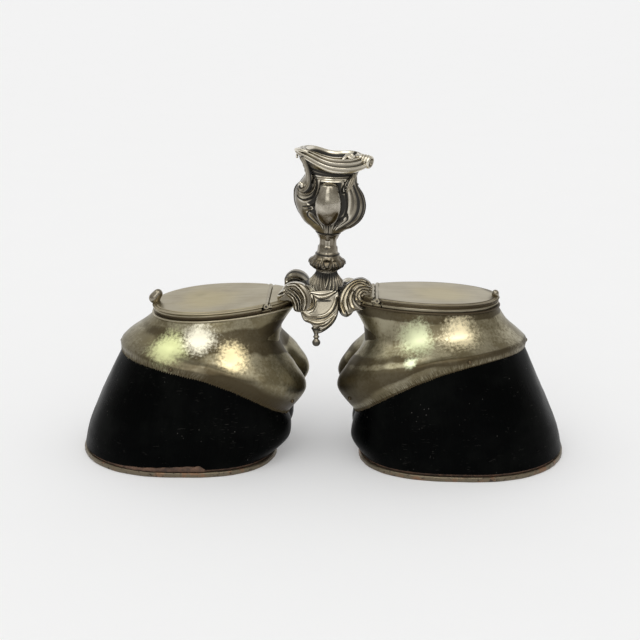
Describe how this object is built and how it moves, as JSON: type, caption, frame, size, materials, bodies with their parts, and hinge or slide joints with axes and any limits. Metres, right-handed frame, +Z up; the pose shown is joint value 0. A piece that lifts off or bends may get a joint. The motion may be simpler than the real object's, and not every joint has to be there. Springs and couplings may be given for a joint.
{
  "type": "desk inkstand",
  "caption": "Double inkstand of two mounted black hooves with hinged flat lids over glass wells, joined by a cast scroll bracket carrying a candle socket.",
  "frame": {"origin": "on the table under the middle of the stand, at the centre of its outline", "axes": "+X to the right along the line of the two hooves, towards the right toe; +Y towards the back; +Z up"},
  "size_m": [0.2928, 0.1112, 0.1856],
  "materials": {
    "horn": "polished black horn, a little scratched",
    "mount_plate": "worn silver plate, tarnished warm olive, finely scratched",
    "lid_plate": "flat silver plate with faint stains",
    "mount_trim": "silver plate mouldings",
    "mount_pins": "small dark pin heads",
    "hinge_metal": "silver plate hinge knuckles",
    "cast_silver": "cast silver plate, dark in its hollows and bright on its ridges",
    "liner_metal": "dull sheet metal",
    "shoe_plate": "plate worn to copper brown",
    "sole_pad": "old brown leather",
    "packing_wood": "raw wood",
    "well_glass": "clear moulded glass",
    "iron": "dark iron fittings"
  },
  "bodies": {
    "root": {"shoe_plate_left": "shoe_plate", "shoe_plate_right": "shoe_plate", "sole_pad_left": "sole_pad", "sole_pad_right": "sole_pad", "sole_screws_left": "iron", "sole_screws_right": "iron", "hoof_horn_left": "horn", "hoof_horn_right": "horn", "packing_block_left": "packing_wood", "packing_block_right": "packing_wood", "mount_shell_left": "mount_plate", "mount_shell_right": "mount_plate", "mount_pins_left": "mount_pins", "mount_pins_right": "mount_pins", "neck_rim_left": "mount_trim", "neck_rim_right": "mount_trim", "well_deck_left": "mount_trim", "well_deck_right": "mount_trim", "glass_well_left": "well_glass", "glass_well_right": "well_glass", "hinge_plate_left": "lid_plate", "hinge_plate_right": "lid_plate", "plate_knuckles_left": "hinge_metal", "plate_knuckles_right": "hinge_metal", "hinge_pin_left": "iron", "hinge_pin_right": "iron", "bracket_saddle": "cast_silver", "shield_front": "cast_silver", "shield_back": "cast_silver", "pendant_front": "cast_silver", "pendant_back": "cast_silver", "scroll_left": "cast_silver", "scroll_right": "cast_silver", "foot_skirt": "cast_silver", "knop": "cast_silver", "stem": "cast_silver", "socket_cup": "cast_silver", "cup_scrolls": "cast_silver", "socket_rim": "cast_silver", "socket_liner": "liner_metal", "tie_rod": "iron", "tie_nut": "iron"},
    "lid_left": {"lid_left": "lid_plate", "lid_bezel_left": "mount_trim", "lid_knuckles_left": "hinge_metal", "thumbpiece_left": "cast_silver"},
    "lid_right": {"lid_right": "lid_plate", "lid_bezel_right": "mount_trim", "lid_knuckles_right": "hinge_metal", "thumbpiece_right": "cast_silver"}
  },
  "joints": [
    {"name": "lid_left_hinge", "type": "hinge", "parent": "root", "child": "lid_left", "pos_m": [-0.03248, 0.00004, 0.0951], "axis": [-0.0019, 0.9997, 0.0244], "range_deg": [0, 97]},
    {"name": "lid_right_hinge", "type": "hinge", "parent": "root", "child": "lid_right", "pos_m": [0.03256, -0.00006, 0.098], "axis": [0.0012, -0.999, 0.0436], "range_deg": [0, 97]}
  ]
}
